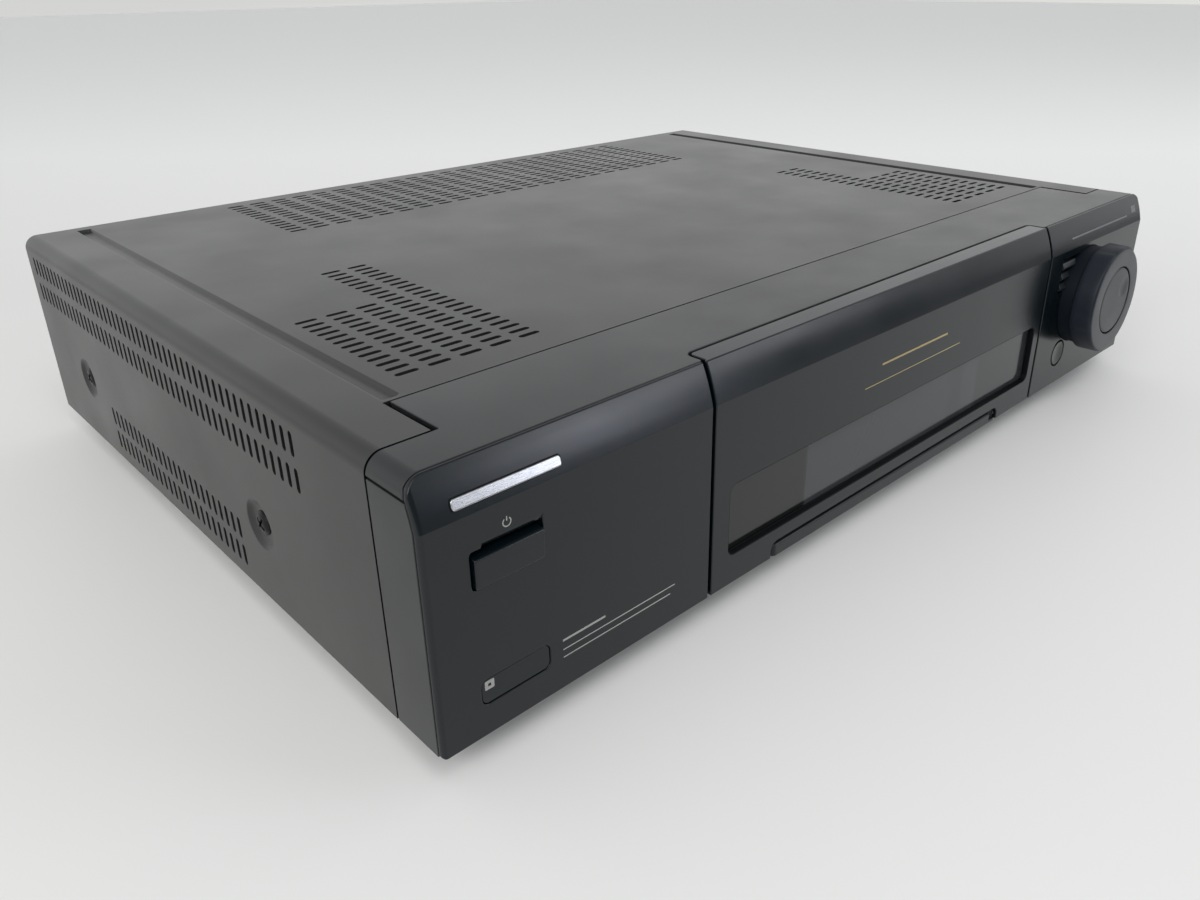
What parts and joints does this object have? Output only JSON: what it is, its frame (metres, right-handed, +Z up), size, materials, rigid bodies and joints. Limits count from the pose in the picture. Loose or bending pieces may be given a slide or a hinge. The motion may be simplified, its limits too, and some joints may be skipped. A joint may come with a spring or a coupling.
{
  "type": "video cassette recorder",
  "caption": "Front-loading video cassette recorder with a drop-down door, smoked display window, jog and shuttle dial and a full tape deck inside.",
  "frame": {"origin": "middle of the whole recorder's box, at the underside of the feet", "axes": "+X along the front to the right as seen from the front, +Y from the face to the back, +Z up"},
  "size_m": [0.43, 0.339, 0.092],
  "materials": {
    "cover_paint": "fine satin paint",
    "bezel_plastic": "satin moulded",
    "face_plastic": "satin lacquer",
    "smoked_window": "smoked",
    "black_plastic": "satin moulded",
    "knob_plastic": "satin lacquer",
    "knob_metal": "satin",
    "zinc_steel": "zinc plated",
    "black_screw": "blackened",
    "rubber": "matt",
    "board": "printed board",
    "display_glass": "clear front",
    "winding": "taped",
    "bronze": "sintered",
    "polished": "polished",
    "white_plastic": "moulded",
    "capacitor_sleeve": "sleeve"
  },
  "bodies": {
    "case": {"top_cover": "cover_paint", "cover_screws": "black_screw", "bezel_frame": "bezel_plastic", "left_face": "face_plastic", "right_face": "face_plastic", "bottom_chassis": "zinc_steel", "rear_panel": "black_plastic", "rear_screws": "black_screw", "foot_front_left": "rubber", "foot_front_right": "rubber", "foot_rear_left": "rubber", "foot_rear_right": "rubber", "door_hinge_bar": "face_plastic", "door_hinge_pins": "zinc_steel", "ir_window": "smoked_window", "dial_collar": "black_plastic", "dial_encoder": "zinc_steel", "left_switch_board": "board", "right_switch_board": "board", "display_tube": "display_glass", "display_board": "board", "mains_inlet": "black_plastic", "upper_scart_socket": "black_plastic", "lower_scart_socket": "black_plastic", "tuner_can": "zinc_steel", "phono_sockets": "black_plastic", "main_board": "board", "power_board": "board", "transformer": "winding", "heat_sink": "polished", "main_capacitor": "capacitor_sleeve", "deck_chassis": "zinc_steel", "lower_drum": "polished", "capstan_bearing": "bronze", "head_stack": "polished", "loading_motor": "zinc_steel", "carriage_frame": "zinc_steel"},
    "door": {"door_panel": "face_plastic", "door_window": "smoked_window"},
    "power_key": {"power_button": "face_plastic"},
    "upper_key": {"upper_slim_button": "knob_plastic"},
    "middle_key": {"middle_slim_button": "knob_plastic"},
    "lower_key": {"lower_slim_button": "knob_plastic"},
    "round_key": {"round_button": "face_plastic"},
    "shuttle": {"shuttle_ring": "knob_metal"},
    "jog": {"jog_disc": "knob_metal"},
    "slider": {"carriage_slider": "zinc_steel"},
    "holder": {"cassette_holder": "zinc_steel"},
    "supply_reel": {"supply_reel_table": "white_plastic"},
    "take_up_reel": {"take_up_reel_table": "white_plastic"},
    "idler": {"idler_wheel": "rubber"},
    "drum": {"upper_drum": "polished", "drum_rotor": "zinc_steel"},
    "capstan_shaft": {"capstan": "polished"},
    "pinch_lever": {"pinch_arm": "zinc_steel"},
    "pinch": {"pinch_roller": "rubber"},
    "cam": {"cam_gear": "white_plastic"},
    "worm": {"loading_worm": "bronze"},
    "supply_post": {"supply_guide": "polished"},
    "take_up_post": {"take_up_guide": "polished"}
  },
  "joints": [
    {"name": "door_hinge", "type": "hinge", "parent": "case", "child": "door", "pos_m": [0, -0.1509, 0.0136], "axis": [1, 0, 0], "range_deg": [0, 88]},
    {"name": "power_press", "type": "slide", "parent": "case", "child": "power_key", "axis": [0, 1, 0], "range_m": [0, 0.0025], "stiffness_N_per_m": 300},
    {"name": "upper_press", "type": "slide", "parent": "case", "child": "upper_key", "axis": [0, 1, 0], "range_m": [0, 0.0012], "stiffness_N_per_m": 300},
    {"name": "middle_press", "type": "slide", "parent": "case", "child": "middle_key", "axis": [0, 1, 0], "range_m": [0, 0.0012], "stiffness_N_per_m": 300},
    {"name": "lower_press", "type": "slide", "parent": "case", "child": "lower_key", "axis": [0, 1, 0], "range_m": [0, 0.0012], "stiffness_N_per_m": 300},
    {"name": "round_press", "type": "slide", "parent": "case", "child": "round_key", "axis": [0, 1, 0], "range_m": [0, 0.0012], "stiffness_N_per_m": 300},
    {"name": "shuttle_turn", "type": "hinge", "parent": "case", "child": "shuttle", "pos_m": [0.1535, -0.1655, 0.0536], "axis": [0, 1, 0], "range_deg": [-75, 75], "stiffness_Nm_per_rad": 0.03},
    {"name": "jog_spin", "type": "hinge", "parent": "case", "child": "jog", "pos_m": [0.1535, -0.1675, 0.0536], "axis": [0, 1, 0], "continuous": true},
    {"name": "carriage_travel", "type": "slide", "parent": "case", "child": "slider", "axis": [0, 1, 0], "range_m": [0, 0.058]},
    {"name": "holder_drop", "type": "slide", "parent": "slider", "child": "holder", "axis": [0, 0, -1], "range_m": [0, 0.0174]},
    {"name": "supply_spin", "type": "hinge", "parent": "case", "child": "supply_reel", "pos_m": [-0.046, -0.0215, 0.037], "axis": [0, 0, 1], "continuous": true},
    {"name": "take_up_spin", "type": "hinge", "parent": "case", "child": "take_up_reel", "pos_m": [0.046, -0.0215, 0.037], "axis": [0, 0, 1], "continuous": true},
    {"name": "idler_spin", "type": "hinge", "parent": "case", "child": "idler", "pos_m": [0.01627, -0.04232, 0.037], "axis": [0, 0, 1], "continuous": true},
    {"name": "drum_spin", "type": "hinge", "parent": "case", "child": "drum", "pos_m": [0, 0.0815, 0.056], "axis": [0, 0, 1], "continuous": true},
    {"name": "capstan_spin", "type": "hinge", "parent": "case", "child": "capstan_shaft", "pos_m": [0.066, 0.0525, 0.031], "axis": [0, 0, 1], "continuous": true},
    {"name": "pinch_swing", "type": "hinge", "parent": "case", "child": "pinch_lever", "pos_m": [0.088, 0.0465, 0.037], "axis": [0, 0, 1], "range_deg": [-20, 0]},
    {"name": "pinch_spin", "type": "hinge", "parent": "pinch_lever", "child": "pinch", "pos_m": [0.0638, 0.0364, 0.046], "axis": [0, 0, 1], "continuous": true},
    {"name": "cam_turn", "type": "hinge", "parent": "case", "child": "cam", "pos_m": [-0.062, 0.0995, 0.023], "axis": [0, 0, 1], "range_deg": [0, 200]},
    {"name": "worm_spin", "type": "hinge", "parent": "case", "child": "worm", "pos_m": [-0.0863, 0.0995, 0.0235], "axis": [0, 1, 0], "range_deg": [0, 2001]},
    {"name": "supply_thread", "type": "slide", "parent": "case", "child": "supply_post", "axis": [-0.1961, 0.9806, 0], "range_m": [0, 0.05]},
    {"name": "take_up_thread", "type": "slide", "parent": "case", "child": "take_up_post", "axis": [0.1961, 0.9806, 0], "range_m": [0, 0.05]}
  ],
  "couplings": [
    {"joint": "idler_spin", "follows": "take_up_spin", "ratio": -1.5714},
    {"joint": "worm_spin", "follows": "cam_turn", "ratio": 10},
    {"joint": "pinch_swing", "follows": "cam_turn", "ratio": -0.0999},
    {"joint": "supply_thread", "follows": "cam_turn", "m_per_rad": 0.0143},
    {"joint": "take_up_thread", "follows": "cam_turn", "m_per_rad": 0.0143}
  ]
}
